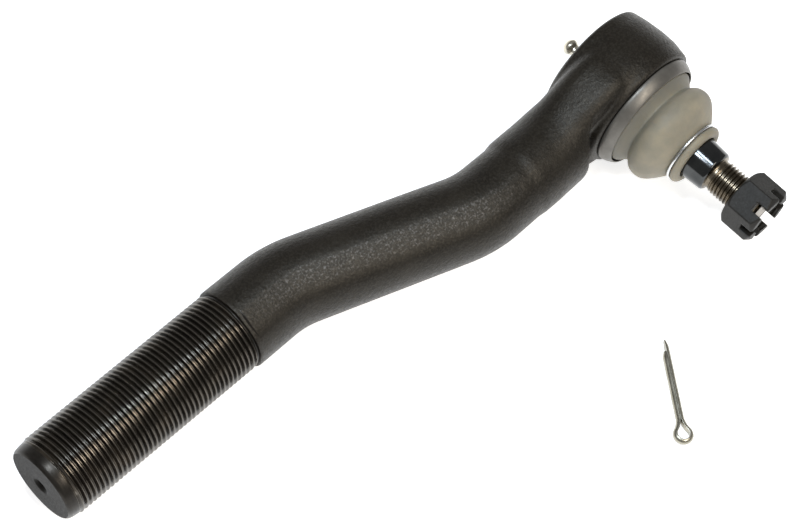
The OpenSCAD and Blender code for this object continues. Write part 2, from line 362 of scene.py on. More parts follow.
def steel_material(name, dark, light, rough, grain_mm=0.9, metallic=1.0, grain_depth=0.02,
                   stretch=(1, 1, 1), cloud_mm=6, worn=None, specular=0.5):
    """Metal with clouded tone, fine grain and, if worn is given, rubbed edges of that colour."""
    mat, tree = new_material(name, Metallic=metallic, Specular_IOR_Level=specular)
    cloud = noise(tree, cloud_mm, 5, 0.6)
    grain = noise(tree, grain_mm, 4, 0.6, stretch)
    base = ramp(tree, cloud, (0.3, dark), (0.7, light))
    if worn:
        base = mix(tree, edges(tree), base, (*worn, 1))
    to_shader(tree, "Base Color", base)
    to_shader(tree, "Roughness", remap(tree, grain, rough[0], rough[1]))
    bump(tree, grain, grain_depth, 0.6)
    return mat


def boot_material():
    """Milky, slightly see-through moulded plastic with a warm body colour, painted darker from its
    foot to its waist as painted shade.
    """
    mat, tree = new_material("milky_boot", Roughness=0.5, Specular_IOR_Level=0.38,
                             Subsurface_Weight=0.35, Subsurface_Scale=0.004,
                             Subsurface_Radius=(1.0, 0.72, 0.42))
    cloud = noise(tree, 9, 4, 0.55)
    grain = noise(tree, 0.7, 3, 0.6)
    base = ramp(tree, cloud, (0.3, (0.185, 0.17, 0.132)), (0.55, (0.235, 0.212, 0.16)),
                (0.75, (0.285, 0.25, 0.178)))
    place = tree.nodes.new("ShaderNodeSeparateXYZ")
    tree.links.new(coordinates(tree), place.inputs["Vector"])
    # Darker from the foot up past the groove of the waist: painted shade.
    painted_waist_shade = remap(tree, place.outputs["Y"], 0.85, 0, 16.5 * MM, 21.5 * MM)
    base = mix(tree, painted_waist_shade, base, (0.13, 0.124, 0.102, 1))
    to_shader(tree, "Base Color", base)
    to_shader(tree, "Roughness", remap(tree, grain, 0.5, 0.62))
    bump(tree, cloud, 0.1, 0.4)
    bump(tree, grain, 0.015, 0.4)
    return mat


def plastic_material(name, dark, light, rough):
    """Moulded plastic or rubber with clouded tone and fine grain."""
    mat, tree = new_material(name, Specular_IOR_Level=0.4)
    cloud = noise(tree, 5, 4, 0.6)
    grain = noise(tree, 0.6, 3, 0.6)
    to_shader(tree, "Base Color", ramp(tree, cloud, (0.3, dark), (0.7, light)))
    to_shader(tree, "Roughness", remap(tree, grain, rough - 0.08, rough + 0.08))
    bump(tree, grain, 0.03, 0.5)
    return mat


def floor_material():
    """White acrylic of a light table, lit from below."""
    mat, tree = new_material("light_table", Specular_IOR_Level=0.2, Roughness=0.8,
                             Emission_Color=(1, 1, 1, 1), Emission_Strength=0.75)
    cloud = noise(tree, 60, 2, 0.5)
    to_shader(tree, "Base Color", ramp(tree, cloud, (0.3, (0.84, 0.84, 0.84)),
                                       (0.7, (0.88, 0.88, 0.88))))
    return mat


FORGING = forging_material()
CUT_THREAD = thread_material()
FACED_END = end_face_material()
TURNED_BLACK = steel_material("turned_black", (0.014, 0.012, 0.01), (0.032, 0.028, 0.023),
                              (0.26, 0.4), metallic=0.6, specular=0.3, stretch=(2.5, 0.4, 0.4))
COLLAR = steel_material("satin_collar", (0.105, 0.098, 0.087), (0.155, 0.146, 0.13), (0.34, 0.46),
                        grain_mm=1.2, metallic=0.55, worn=(0.19, 0.18, 0.16))
GROUND_TAPER = steel_material("ground_taper", (0.045, 0.047, 0.048), (0.08, 0.082, 0.082),
                              (0.1, 0.15), stretch=(0.6, 3.0, 0.6), grain_depth=0.006)
TAN_THREAD = steel_material("tempered_thread", (0.085, 0.068, 0.048), (0.2, 0.17, 0.128),
                            (0.2, 0.34), grain_mm=1.2, cloud_mm=4)
PHOSPHATE = steel_material("phosphate", (0.0095, 0.0088, 0.0075), (0.018, 0.0168, 0.0148),
                           (0.4, 0.55), grain_mm=0.7, metallic=0.0, grain_depth=0.08,
                           worn=(0.045, 0.043, 0.04), specular=0.2)
ZINC = steel_material("zinc_plate", (0.27, 0.255, 0.2), (0.43, 0.41, 0.345), (0.26, 0.4),
                      grain_mm=0.8, worn=(0.52, 0.5, 0.43))
NIPPLE_PLATE = steel_material("nipple_plate", (0.5, 0.46, 0.37), (0.68, 0.64, 0.54), (0.2, 0.34),
                              grain_mm=0.8)
RING_STEEL = steel_material("ring_steel", (0.5, 0.51, 0.52), (0.7, 0.7, 0.7), (0.2, 0.32))
COVER_STEEL = steel_material("cover_steel", (0.2, 0.18, 0.15), (0.34, 0.31, 0.27), (0.32, 0.46),
                             grain_depth=0.04)
SPRING_STEEL = steel_material("spring_steel", (0.09, 0.095, 0.1), (0.17, 0.17, 0.18), (0.26, 0.4))
BOOT = boot_material()
SEAT = plastic_material("moulded_seat", (0.52, 0.46, 0.32), (0.62, 0.56, 0.42), 0.42)
SEAL = plastic_material("seal_rubber", (0.008, 0.008, 0.008), (0.02, 0.02, 0.02), 0.6)
FLOOR = floor_material()


# ---------------------------------------------------------------- shells

def on_rod(radius, angle, place):
    """Points at a radius and an angle from +Z towards -Y round the rod's axis."""
    return np.stack([place + 0 * radius, ROD_AXIS_Y - radius * np.sin(angle),
                     radius * np.cos(angle)], axis=-1)


def about_y(radius, angle, place):
    """Points at a radius and an angle from +Z towards +X round the stud's axis."""
    return np.stack([radius * np.sin(angle), place + 0 * radius, radius * np.cos(angle)], axis=-1)


def fillets(corners, steps=5):
    """An outline of (radius, place, rounding) corners with each corner rounded."""
    points = []
    for i, (r, h, size) in enumerate(corners):
        here = np.array([r, h], float)
        if size == 0 or i in (0, len(corners) - 1):
            points.append(here)
            continue
        before = np.array(corners[i - 1][:2]) - here
        after = np.array(corners[i + 1][:2]) - here
        reach_a = here + before * min(0.49, size / np.linalg.norm(before))
        reach_b = here + after * min(0.49, size / np.linalg.norm(after))
        for t in np.linspace(0, 1, steps):
            points.append((1 - t) ** 2 * reach_a + 2 * t * (1 - t) * here + t * t * reach_b)
    return np.array(points)


def curve_through(points, steps=6):
    """A smooth outline through (radius, place) points."""
    p = np.array(points, float)
    p = np.vstack([2 * p[0] - p[1], p, 2 * p[-1] - p[-2]])
    out = []
    for i in range(1, len(p) - 2):
        for t in np.linspace(0, 1, steps, endpoint=False):
            out.append(0.5 * (2 * p[i] + (p[i + 1] - p[i - 1]) * t
                              + (2 * p[i - 1] - 5 * p[i] + 4 * p[i + 1] - p[i + 2]) * t ** 2
                              + (3 * p[i] - p[i - 1] - 3 * p[i + 1] + p[i + 2]) * t ** 3))
    out.append(p[-2])
    return np.array(out)


def grid_faces(rows, columns, lead=0):
    """Quads of a grid whose last column meets the first one, lead rows higher."""
    i, j = np.meshgrid(np.arange(rows - 1 - lead), np.arange(columns), indexing="ij")
    wrap = j == columns - 1
    right = np.where(wrap, (i + lead) * columns, i * columns + j + 1)
    return np.stack([i * columns + j, right, right + columns, (i + 1) * columns + j],
                    axis=-1).reshape(-1, 4)


def tube_faces(rows, columns):
    """Faces of a tube of rows rings, closed by one face at each end."""
    first = tuple(range(columns))
    last = tuple((rows - 1) * columns + c for c in reversed(range(columns)))
    return [*map(tuple, grid_faces(rows, columns)), first, last]


def turned(outline, place, material, segments=160, closed=False, swell=None):
    """A shell turned round an axis from (radius, place) points; swell(angle) widens it."""
    outline = np.array(outline, float)
    if closed:
        outline = np.vstack([outline, outline[:1]])
    angle = np.linspace(0, 2 * math.pi, segments, endpoint=False)
    radius = outline[:, :1] + (swell(angle)[None, :] if swell else 0) * (outline[:, :1] > 0)
    points = place(radius + 0 * angle, angle[None, :] + 0 * radius, outline[:, 1:] + 0 * angle)
    return points.reshape(-1, 3), grid_faces(len(outline), segments), material


def groove(phase):
    """Depth of a thread at a phase of its pitch: 0 on the crest, 1 at the root."""
    rise = np.abs((phase % 1) - 0.5) * 2
    return 1 - np.clip((rise - 0.2) / 0.62, 0, 1) ** 1.15


def screwed(start, end, pitch, depth, envelope, cut, place, material, around=144):
    """A right-hand helical shell: envelope(h) less depth * cut(h) in the grooves."""
    knots = 12
    rows = int((end - start) / pitch * knots) + 2 * knots + 2
    i = np.arange(rows)[:, None] - knots
    j = np.arange(around)[None, :]
    h = np.clip(start + pitch * (i / knots + j / around), start, end)
    radius = envelope(h) - depth * cut(h) * groove(i / knots + 0 * j)
    angle = 2 * math.pi * j / around + 0 * i
    return place(radius, angle, h).reshape(-1, 3), grid_faces(rows, around, knots), material


def surface_of(field, low, high, cell, material):
    """Mesh of the surface field(x, y, z) = 0, negative inside, with its points pulled onto it.

    Each grid cell that the surface crosses gets one point, the mean of the places where it
    crosses the cell's edges. Each grid edge that it crosses gets a quad of its four cells."""
    low = np.array(low, float)
    axes = [np.arange(low[k], high[k] + cell, cell) for k in range(3)]
    values = field(*np.meshgrid(*axes, indexing="ij", sparse=True))
    inside = values < 0
    corners = list(itertools.product((0, 1), repeat=3))
    shape = np.array(inside.shape) - 1
    count = sum(inside[tuple(slice(o, o + n) for o, n in zip(c, shape))].astype(np.int8)
                for c in corners)
    crossed = (count > 0) & (count < 8)
    cells = np.argwhere(crossed)
    index = np.full(crossed.shape, -1)
    index[crossed] = np.arange(len(cells))
    total = np.zeros((len(cells), 3))
    hits = np.zeros(len(cells))
    for axis in range(3):
        step = np.eye(3, dtype=int)[axis]
        for corner in corners:
            if corner[axis]:
                continue
            a = values[tuple((cells + corner).T)]
            b = values[tuple((cells + corner + step).T)]
            change = (a < 0) != (b < 0)
            t = np.where(change, a / np.where(change, a - b, 1), 0)
            total += change[:, None] * (np.array(corner) + t[:, None] * step)
            hits += change
    points = low + cell * (cells + total / hits[:, None])

    nudge, rounds = 0.05, 3
    for _ in range(rounds):
        slope = np.stack([(field(*(points + nudge * e).T) - field(*(points - nudge * e).T))
                          / (2 * nudge) for e in np.eye(3)], axis=1)
        reach = field(*points.T) / np.maximum((slope ** 2).sum(axis=1), 0.2)
        points -= np.clip(reach, -cell / 2, cell / 2)[:, None] * slope

    quads = []
    for axis in range(3):
        across = np.eye(3, dtype=int)[(axis + 1) % 3]
        up = np.eye(3, dtype=int)[(axis + 2) % 3]
        ahead = np.roll(inside, -1, axis)
        change = inside != ahead
        change[tuple(slice(-1, None) if k == axis else slice(None) for k in range(3))] = False
        for k in ((axis + 1) % 3, (axis + 2) % 3):
            for end in (slice(0, 1), slice(-1, None)):
                change[tuple(end if n == k else slice(None) for n in range(3))] = False
        at = np.argwhere(change)
        quad = np.stack([index[tuple((at - across - up).T)], index[tuple((at - up).T)],
                         index[tuple(at.T)], index[tuple((at - across).T)]], axis=1)
        outward = inside[tuple(at.T)]
        quad[~outward] = quad[~outward][:, ::-1]
        quads.append(quad)
    return points, np.vstack(quads), material


def shade(mesh):
    """Smooth shading, with creases."""
    mesh.shade_smooth()
    mesh.set_sharp_from_angle(angle=CREASE_ANGLE)


def make_mesh(name, shells):
    """One mesh object from shells of (points in mm, faces, material)."""
    mesh = bpy.data.meshes.new(name)
    materials = []
    points, faces, slots = [], [], []
    for shell_points, shell_faces, material in shells:
        if material not in materials:
            materials.append(material)
        start = sum(map(len, points))
        points.append(np.asarray(shell_points))
        faces += [tuple(int(v) + start for v in face) for face in shell_faces]
        slots += [materials.index(material)] * len(shell_faces)
    mesh.from_pydata((np.vstack(points) * MM).tolist(), [], faces)
    for material in materials:
        mesh.materials.append(material)
    mesh.polygons.foreach_set("material_index", slots)
    bm = bmesh.new()
    bm.from_mesh(mesh)
    bmesh.ops.remove_doubles(bm, verts=bm.verts, dist=WELD)
    bmesh.ops.dissolve_degenerate(bm, dist=SHORTEST_EDGE, edges=bm.edges)
    bmesh.ops.recalc_face_normals(bm, faces=bm.faces)
    bm.to_mesh(mesh)
    bm.free()
    shade(mesh)
    piece = bpy.data.objects.new(name, mesh)
    bpy.context.scene.collection.objects.link(piece)
    return piece


def add_piece(name, node, shells, body):
    """A piece that stands for a CAD node and rides on a body, unless body is None."""
    piece = make_mesh(name, shells)
    if body:
        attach(piece, body)
    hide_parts(node)
    return piece


# ---------------------------------------------------------------- solid fields

def smooth_max(a, b, k):
    """The part inside both a and b, with a rounding of about k along their edge."""
    h = np.clip(0.5 + 0.5 * (a - b) / k, 0, 1)
    return b + (a - b) * h + k * h * (1 - h)


def smooth_min(a, b, k):
    """Both a and b, with a fillet of about k where they meet."""
    return -smooth_max(-a, -b, k)


def smooth_step(x, start, end):
    """0 at start easing to 1 at end, which may be the lower of the two."""
    t = np.clip((x - start) / (end - start), 0, 1)
    return t * t * (3 - 2 * t)


def hexagon(x, z, flat_r, turn, rounding):
    """Endless hexagonal bar along Y; a pair of its flats faces turn radians from +Z."""
    sides = -1e3
    for k in range(3):
        a = turn + k * math.pi / 3
        along = x * math.sin(a) + z * math.cos(a)
        sides = smooth_max(sides, np.abs(along) - flat_r, rounding)
    return sides


def shank_offset(x, y):
    """Distance in the plane of the bends from the shank's centre line, positive towards +Y."""
    tangent = BEND_R * math.tan(BEND_ANGLE / 2)
    run = -ROD_AXIS_Y / math.tan(BEND_ANGLE)
    length = math.hypot(run, ROD_AXIS_Y)
    cos, sin = math.cos(BEND_ANGLE), math.sin(BEND_ANGLE)
    near_x = -BEND_REACH
    far_x = near_x + run
    along = (x - near_x) * cos + (y - ROD_AXIS_Y) * sin
    across = (y - ROD_AXIS_Y) * cos - (x - near_x) * sin
    near_bend = BEND_R - np.hypot(x - (near_x - tangent), y - (ROD_AXIS_Y + BEND_R))
    far_bend = np.hypot(x - (far_x + tangent), y + BEND_R) - BEND_R
    flat = 0 * x * y
    return np.select([x + flat < near_x - tangent, along < tangent, along < length - tangent,
                      x + flat < far_x + tangent],
                     [y - ROD_AXIS_Y + flat, near_bend, across, far_bend], y + flat)


def shank_field(x, y, z):
    """Round bar with the flatter trimmed land on its +Y side, above and below."""
    offset = shank_offset(x, y)
    radius = np.interp(x, *SHANK_RADII)
    wander = 0.12 * np.sin(x / 2.3) + 0.1 * np.sin(x / 1.1 + 1)
    middle = math.radians(LAND_MIDDLE)
    half = math.radians(LAND_HALF_WIDTH)
    sag = LAND_R - math.sqrt(LAND_R ** 2 - (SHANK_R * math.sin(half)) ** 2)
    centre = radius * math.cos(half) + sag - LAND_R + 0.04 * wander
    land = np.hypot(offset - centre * math.sin(middle),
                    np.abs(z) - centre * math.cos(middle)) - LAND_R
    round_bar = np.hypot(offset, z) - radius
    faded = smooth_step(x, -66, -84)
    crisp = 0.25 + 0.9 * smooth_step(offset, 4, 9)
    flattened = smooth_max(round_bar, land - 0.7 * (1 - faded), crisp)
    round_bar = np.where(faded > 0, flattened, round_bar)
    return smooth_max(smooth_max(round_bar, x - SHANK_END, 6), SHOULDER_X - 1.2 - x, 0.6)


def root_field(x, y, z):
    """The shank's root, which swells up and down to the socket and ends in a rounded nose."""
    grow = smooth_step(x, ROOT_START, ROOT_END)
    half_z = 15.2 + 11.7 * grow
    top = np.interp(x, *ROOT_TOP)
    middle = (top + ROOT_LOW) / 2
    half_y = (top - ROOT_LOW) / 2
    power = 2.0 + 1.7 * grow
    nose_start, nose_length, mean_r = -14, 18, 14
    nose = np.clip((x - nose_start) / nose_length, 0, None)
    ratio = (np.abs((y - middle) / half_y) ** power + np.abs(z / half_z) ** power
             + nose ** power) ** (1 / power)
    swelling = smooth_max((ratio - 1) * mean_r, ROOT_FAR_END - x, 3)
    floor_y = 5.8 + 2.6 * smooth_step(np.abs(z), 2, 25)
    round_rim = np.maximum(np.hypot(x - ROOT_RIM_X, z) - ROOT_RIM_R, floor_y - y)
    return smooth_max(swelling, -round_rim, 2.0)


def socket_field(x, y, z):
    """Barrelled cup with a turned rim, and the spigot that the boot sits on."""
    q = np.hypot(x, z)
    barrel = np.interp(y, [BACK_Y, -10, -3, 3, RIM_Y],
                       [SOCKET_R - inset for inset in (1.7, 0.55, 0, 0.05, 1.4)])
    cup = smooth_max(smooth_max(q - barrel, y - RIM_Y, 1.4), BACK_Y - y, 1.7)
    spigot = np.maximum(q - SPIGOT_R, np.abs(y - SPIGOT_Y / 2) - SPIGOT_Y / 2)
    return np.minimum(cup, spigot)


def cavity_field(x, y, z):
    """Hollow of the socket: the seats' chamber, its flared mouth and the cover's well."""
    q = np.hypot(x, z)
    chamber = smooth_max(q - CAVITY_R, y - CAVITY_FRONT, 0.5)
    mouth = q - OPENING_R - OPENING_SLOPE * np.clip(y - CAVITY_FRONT, 0, None)
    cover_well = np.maximum(q - COVER_WELL_R, y - COVER_WELL_Y)
    crimped = np.maximum(q - CRIMP_R, y - COVER_Y)
    well = np.maximum(cover_well, COVER_Y - y)
    return np.minimum(np.minimum(chamber, np.maximum(mouth, CAVITY_FRONT - 1 - y)),
                      np.minimum(well, crimped))


def forging_field(x, y, z):
    """The whole forging: shank, root and socket, less the socket's hollow."""
    root = smooth_min(shank_field(x, y, z), root_field(x, y, z), 3.5)
    solid = smooth_min(root, socket_field(x, y, z), 1.8)
    return np.maximum(solid, -cavity_field(x, y, z))


def trimmed_land_and_painted_highlight(x, y, z):
    """1 on the trimmed land, with a ragged upper edge, fading round the shank and at its ends.
    Where it is 1 the forging is painted lighter, partly the land's finish and partly a painted
    highlight.
    """
    offset = shank_offset(x, y)
    angle = np.degrees(np.arctan2(offset, np.abs(z)))
    ragged = 0.7 * np.sin(x / 1.9) + 0.5 * np.sin(x / 0.83 + 1)
    upper = smooth_step(angle + ragged, 7.2, 9.2)
    lower = smooth_step(angle, 44, 28)
    ends = smooth_step(x, -56, -92) * smooth_step(x, -186, -150)
    return upper * lower * ends


# ---------------------------------------------------------------- forged body

def rod_envelope(h):
    """Radius over the crests of the rod, from its end face to the forged shank."""
    places = [ROD_END, ROD_END + 0.5, ROD_END + 1.4, ROD_END + 3, ROD_THREAD_START,
              ROD_THREAD_START + 0.8, ROD_THREAD_END, ROD_THREAD_END + 0.7,
              SHOULDER_X - 1.5, SHOULDER_X + 0.2, SHOULDER_X + 0.7, SHOULDER_X + 1.0]
    radii = [ROD_FACE_R, 14.65, 15.0, 15.3, 15.45, ROD_CREST_R, ROD_CREST_R, 14.8,
             14.75, 16.25, 16.5, 15.6]
    return np.interp(h, places, radii)


def rod_cut(h):
    """How deep the thread is cut, fading in at the end and out at the relief."""
    return np.interp(h, [ROD_THREAD_START - 0.4, ROD_THREAD_START + 1.4,
                         ROD_THREAD_END - 0.3, ROD_THREAD_END + 0.4], [0, 1, 1, 0])


def forged_body():
    """Forging, rod thread, turned ends and the lip crimped over the cover, in one piece."""
    forging = surface_of(forging_field, [SHOULDER_X - 3, -44.5, -28.7], [29, 17.5, 28.7],
                         cell=0.7, material=FORGING)
    thread_start, thread_end = ROD_THREAD_START - ROD_RUNOUT, ROD_THREAD_END + ROD_RUNOUT
    thread = screwed(thread_start, thread_end, ROD_PITCH, ROD_THREAD_DEPTH, rod_envelope,
                     rod_cut, on_rod, CUT_THREAD)
    dome, relief = (
        turned(np.stack([rod_envelope(places), places], axis=1), on_rod, TURNED_BLACK)
        for places in (np.linspace(ROD_END, thread_start, 16),
                       np.linspace(thread_end, SHOULDER_X + 1.0, 22)))
    end_face = fillets([
        (ROD_FACE_R, ROD_END, 0), (CENTRE_HOLE_R, ROD_END, 0.3), (2.1, ROD_END + 1.3, 0.4),
        (1.5, ROD_END + 5.5, 0.3), (0, ROD_END + 6.4, 0)])
    face = turned(end_face, on_rod, FACED_END)
    back = BACK_Y - 0.28
    crimp = turned(fillets([
        (24.4, BACK_Y + 0.5, 0), (24.1, back, 0.5), (22.6, back, 0.3), (22.2, back + 0.55, 0.3),
        (21.2, back + 0.5, 0.4), (20.2, back - 0.02, 0.5), (19.3, back + 0.25, 0.3),
        (CRIMP_R - 0.1, COVER_Y - 0.1, 0.2), (CRIMP_R + 0.4, COVER_Y + 0.2, 0)]),
        about_y, TURNED_BLACK)
    shells = [(points * (-1, 1, -1), faces, material)
              for points, faces, material in (forging, thread, dome, relief, face, crimp)]
    piece = add_piece("forged_body_detailed", "forged_body", shells, "housing")
    places = np.empty(len(piece.data.vertices) * 3)
    piece.data.vertices.foreach_get("co", places)
    x, y, z = places.reshape(-1, 3).T / MM
    # Where the forging is painted lighter: the trimmed land's own finish and a painted highlight.
    trimmed = piece.data.attributes.new("trimmed", "FLOAT", "POINT")
    trimmed.data.foreach_set("value", trimmed_land_and_painted_highlight(-x, y, z))


# ---------------------------------------------------------------- collar, boot and ring

def boot_base_ring():
    """Pressed steel collar that holds the boot's foot on the socket."""
    outline = fillets([
        (22.9, 10.55, 0), (23.9, 10.5, 0.4), (24.25, 10.9, 0.4), (24.15, 11.9, 0.5),
        (23.6, 13.4, 0.8), (22.85, 14.9, 0.8), (22.2, 15.75, 0.3), (21.75, 15.6, 0.25),
        (22.0, 14.6, 0.4), (22.9, 12.8, 0.6), (22.9, 11.5, 0)])
    add_piece("collar", "boot_base_ring",
              [turned(outline, about_y, COLLAR, segments=240, closed=True)],
              "housing")


def dust_boot():
    """Waisted boot with a faint mould line; it stays in place and rides on no body."""
    def parting(angle):
        height, width = 0.09, 0.9
        offset = (np.degrees(angle) - PARTING_AZIMUTH + 90) % 180 - 90
        return height * np.exp(-(offset / width) ** 2)

    outside = curve_through([
        (21.2, 14.2), (21.15, 15.1), (20.9, 15.7), (20.1, 16.6), (19.2, 17.6), (18.3, 18.6),
        (17.75, 19.4), (17.85, 20.0), (18.7, 20.9), (19.7, 22.0), (20.3, 23.3), (20.55, 24.9),
        (20.45, 26.4), (20.0, 27.8), (19.15, 29.1), (18.05, 30.3), (16.9, 31.4), (15.6, 32.5),
        (14.1, 33.7), (12.9, 34.6), (12.15, 35.25), (11.95, 35.9), (12.2, 36.5), (12.75, 36.95),
        (12.95, 37.6), (12.7, 38.5), (12.0, 39.2), (11.2, 39.5), (10.2, 39.55)])
    inside = curve_through([
        (9.4, 39.2), (9.35, 37.8), (9.6, 36.2), (10.6, 34.6), (12.7, 32.2), (15.7, 29.8),
        (17.7, 27.6), (18.5, 25.0), (18.1, 22.6), (16.75, 20.6), (16.45, 19.3), (17.9, 16.9),
        (19.0, 15.3), (20.35, 14.4)], steps=4)
    flange = np.array([(20.35, 10.7), (22.6, 10.7), (22.6, 12.2), (21.4, 13.9)])
    outline = np.vstack([outside, inside, flange])
    shell = turned(outline, about_y, BOOT, segments=320, closed=True, swell=parting)
    boot = add_piece("boot", "dust_boot", [shell], None)
    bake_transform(boot)


def boot_neck_ring():
    """Wire ring round the boot's neck, a fifth thicker than its CAD node."""
    middle_y = (RING_LOW[1] + RING_HIGH[1]) / 2
    wire_r = (RING_HIGH[1] - RING_LOW[1]) / 2 * 1.2
    around = np.linspace(0, 2 * math.pi, 20, endpoint=False)
    outline = np.stack([RING_HIGH[0] - wire_r + wire_r * np.cos(around),
                        middle_y + wire_r * np.sin(around)], axis=1)
    add_piece("neck_ring", "boot_neck_ring",
              [turned(outline, about_y, RING_STEEL, segments=200, closed=True)],
              "neck_carrier")


# ---------------------------------------------------------------- stud and nut

def taper_r(h):
    """Radius of the stud's taper at a place along it."""
    return TAPER_R + (TAPER_END - h) * TAPER_RISE


def cut_cotter_hole(piece):
    """Drills the hole across the stud's thread, along the direction of two nut slots."""
    turn = math.radians(NUT_TURN)
    across = Vector((math.sin(turn), 0, math.cos(turn)))
    drill_mesh = bpy.data.meshes.new("cotter_drill")
    bm = bmesh.new()
    bmesh.ops.create_cone(bm, segments=40, radius1=COTTER_HOLE_R * MM, radius2=COTTER_HOLE_R * MM,
                          depth=20 * MM, cap_ends=True)
    bm.to_mesh(drill_mesh)
    bm.free()
    drill = bpy.data.objects.new("cotter_drill", drill_mesh)
    bpy.context.scene.collection.objects.link(drill)
    drill.matrix_world = (Matrix.Translation((0, COTTER_HOLE_Y * MM, 0))
                          @ across.to_track_quat("Z", "Y").to_matrix().to_4x4())
    cut = piece.modifiers.new("cotter_hole", "BOOLEAN")
    cut.object = drill
    cut.operation = "DIFFERENCE"
    cut.solver = "EXACT"
    depsgraph = bpy.context.evaluated_depsgraph_get()
    result = bpy.data.meshes.new_from_object(piece.evaluated_get(depsgraph))
    piece.modifiers.clear()
    piece.data = result
    bpy.data.objects.remove(drill)


def ball_stud():
    """Ball, neck, taper and drilled thread, in one piece."""
    def envelope(h):
        return np.interp(h, [STUD_THREAD_START, STUD_THREAD_START + 0.9, STUD_TIP - 1.0, STUD_TIP],
                         [STUD_RELIEF_R, STUD_CREST_R, STUD_CREST_R - 0.05, STUD_TIP_R])

    def cut(h):
        return np.interp(h, [STUD_THREAD_START, STUD_THREAD_START + 1.1], [0, 1])

    around = 120
    thread = screwed(STUD_THREAD_START, STUD_TIP, STUD_PITCH, STUD_THREAD_DEPTH, envelope, cut,
                     about_y, TAN_THREAD, around)
    caps = [turned(outline, about_y, TAN_THREAD, around) for outline in (
        [(0, STUD_THREAD_START), (STUD_RELIEF_R, STUD_THREAD_START)],
        [(STUD_TIP_R, STUD_TIP), (0, STUD_TIP)])]
    threaded = make_mesh("stud_thread", [thread, *caps])
    cut_cotter_hole(threaded)

    flat = math.asin(BALL_FLAT / BALL_R)
    neck = math.acos(NECK_R / BALL_R)
    arc = np.linspace(flat, neck, 40)
    ball = np.stack([BALL_R * np.cos(arc), BALL_R * np.sin(arc)], axis=1)
    body = fillets([
        (NECK_R, 11.45, 0), (7.9, 16, 3), (8.0, 24, 3), (taper_r(29) - 0.2, 28.4, 0.4),
        (taper_r(29.4), 29.4, 0.4), (taper_r(TAPER_END - 0.2), TAPER_END - 0.2, 0.45),
        (TAPER_R - 0.75, TAPER_END + 0.55, 0.3), (6.55, TAPER_END + 0.75, 0.35),
        (STUD_RELIEF_R, TAPER_END + 1.5, 0.3), (STUD_RELIEF_R, STUD_THREAD_START + 0.3, 0)])
    taper_top = int(np.argmin(np.abs(body[:, 1] - (TAPER_END + 0.5))))
    shells = [turned(outline, about_y, material, segments=200) for outline, material in (
        (np.vstack([[(0, BALL_FLAT)], ball]), GROUND_TAPER),
        (body[:taper_top + 1], GROUND_TAPER), (body[taper_top:], TAN_THREAD))]
    stud = add_piece("stud", "ball_stud", shells, "stud")
    merge_into(stud, threaded)


def merge_into(piece, other):
    """Moves another object's mesh into a piece that has its one material already."""
    slot = piece.data.materials.find(other.data.materials[0].name)
    other.data.polygons.foreach_set("material_index", [slot] * len(other.data.polygons))
    shade(other.data)
    bm = bmesh.new()
    bm.from_mesh(piece.data)
    bm.from_mesh(other.data)
    bm.to_mesh(piece.data)
    bm.free()
    bpy.data.objects.remove(other)


def nut_field(x, y, z):
    """Hexagon with coned ends, a threaded bore and six slots through the flats."""
    h = y - NUT_LOW[1]
    turn = math.radians(NUT_TURN)
    q = np.hypot(x, z)
    flat_r = NUT_FLATS / 2
    slots = 1e3
    for k in range(3):
        a = turn + k * math.pi / 3
        slots = np.minimum(slots, np.abs(x * math.cos(a) - z * math.sin(a)) - SLOT_W / 2)
    slots = smooth_max(slots, NUT_H - SLOT_DEPTH - h, 0.5)
    low_cone = ((q - flat_r + 0.2) * 1.5 - h * 1.9) / 2.42
    high_cone = ((q - flat_r + 0.4) * 1.9 - (NUT_H - h) * 2.1) / 2.83
    solid = smooth_max(hexagon(x, z, flat_r, turn, 0.35), low_cone, 0.3)
    solid = smooth_max(solid, high_cone, 0.3)
    solid = smooth_max(smooth_max(solid, h - NUT_H, 0.25), -h, 0.25)
    turns = np.arctan2(x, z) / (2 * math.pi)
    bore = NUT_BORE_R + 0.4 * groove(h / STUD_PITCH - turns + 0 * q)
    bore = bore + 0.9 * np.clip(1 - h / 0.9, 0, 1)
    return smooth_max(smooth_max(solid, bore - q, 0.2), -slots, 0.35)


def castle_nut():
    """Slotted nut, part of the way on."""
    margin = 0.8
    nut = surface_of(nut_field, NUT_LOW - margin, NUT_HIGH + margin, cell=0.3,
                     material=PHOSPHATE)
    add_piece("slotted_nut", "castle_nut", [nut], "castle_nut")


# ---------------------------------------------------------------- grease nipple and cotter pin

def nipple_hexagon(x, y, z):
    """Hexagon with coned ends."""
    past = np.hypot(x, z) - HEXAGON_FLAT_R
    ends = (HEXAGON_OUTER_Y - y, y - HEXAGON_INNER_Y)
    solid = hexagon(x, z, HEXAGON_FLAT_R, 0, 0.2)
    for end in ends:
        solid = smooth_max(solid, (past + end * 1.5) / 1.8, 0.2)
    for end in ends:
        solid = smooth_max(solid, end, 0.15)
    return solid


